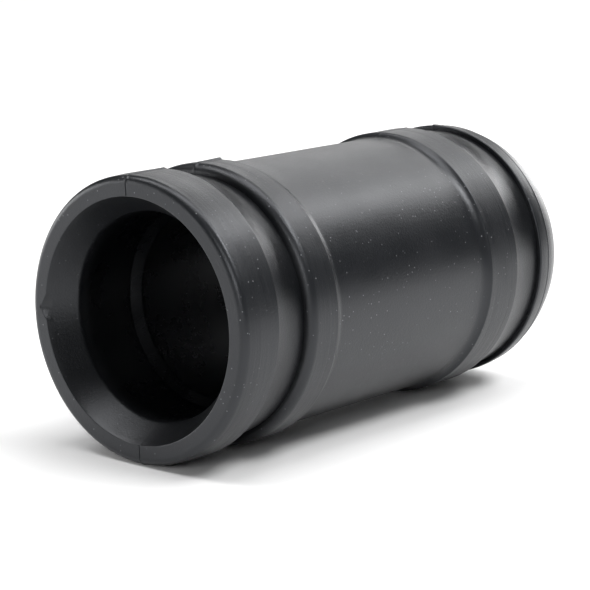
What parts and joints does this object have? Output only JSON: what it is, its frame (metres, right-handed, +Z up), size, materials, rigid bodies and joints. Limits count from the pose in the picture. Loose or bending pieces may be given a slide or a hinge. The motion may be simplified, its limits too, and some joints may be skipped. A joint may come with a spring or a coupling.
{
  "type": "pipe coupling",
  "caption": "Straight moulded rubber sleeve that joins two tubes end to end. It has a flat-faced bead with a tapered mouth at one end, a domed nose at the other, and a clamp groove and a band at each end.",
  "frame": {"origin": "on the sleeve's axis, halfway between its two end faces", "axes": "+X along the sleeve's axis towards the domed end, +Z up with the sleeve lying on its side and the mould seam along its top and bottom"},
  "size_m": [0.0734, 0.0384, 0.039],
  "materials": {
    "black_rubber": "moulded black rubber, satin, with fine tool marks"
  },
  "bodies": {
    "root": {"rubber_sleeve": "black_rubber"}
  },
  "joints": []
}
